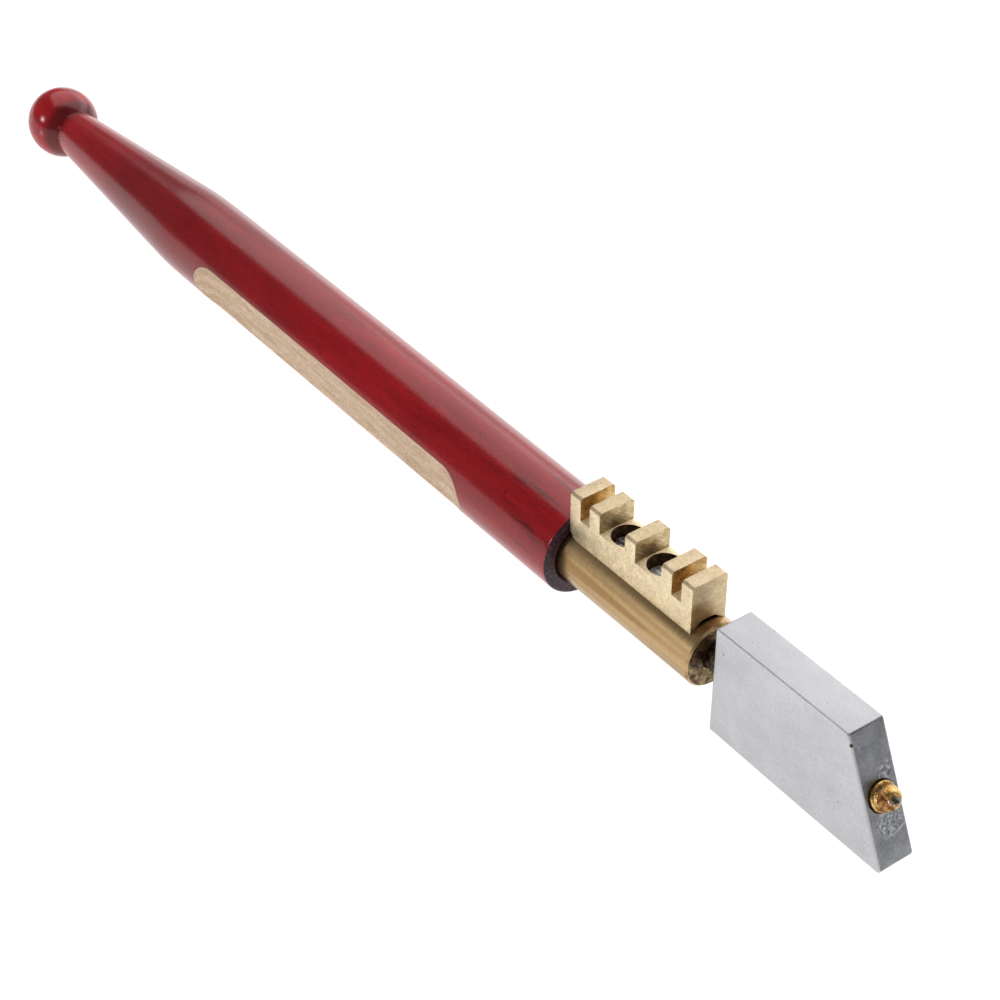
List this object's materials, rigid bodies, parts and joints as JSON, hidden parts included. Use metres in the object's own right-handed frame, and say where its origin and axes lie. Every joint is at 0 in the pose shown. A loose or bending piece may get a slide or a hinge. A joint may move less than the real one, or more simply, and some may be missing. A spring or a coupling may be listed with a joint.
{
  "type": "diamond glass cutter",
  "caption": "Glazier's diamond glass cutter: turned wooden handle with a ball end, brass shank, notched breaking bar, and a swivelling aluminium head block with a diamond stud.",
  "frame": {"origin": "halfway along the cutter, on its middle plane, level with the lower edge of the head block", "axes": "+X along the handle towards the head, +Z towards the notches, the grip flat on the -Y side"},
  "size_m": [0.1843, 0.0122, 0.0178],
  "materials": {
    "lacquered_wood": "deep red gloss lacquer, bare on the grip flat",
    "turned_brass": "turned, fine marks round the rod",
    "milled_brass": "milled, matt",
    "screw_steel": "plain steel",
    "pin_steel": "dark oiled steel",
    "block_aluminium": "satin",
    "stud_brass": "bright turned",
    "solder": "bright solder",
    "diamond": "rough industrial crystal"
  },
  "bodies": {
    "holder": {"handle": "lacquered_wood", "shank": "turned_brass", "tang_brad": "screw_steel", "notch_bar": "milled_brass", "rear_bar_screw": "screw_steel", "front_bar_screw": "screw_steel"},
    "head": {"swivel_pin": "pin_steel", "head_block": "block_aluminium", "diamond_stud": "stud_brass", "solder_bead": "solder", "diamond": "diamond"}
  },
  "joints": [
    {"name": "head_swivel", "type": "hinge", "parent": "holder", "child": "head", "pos_m": [0, 0, 0.008], "axis": [1, 0, 0], "range_deg": [-15, 15]}
  ]
}
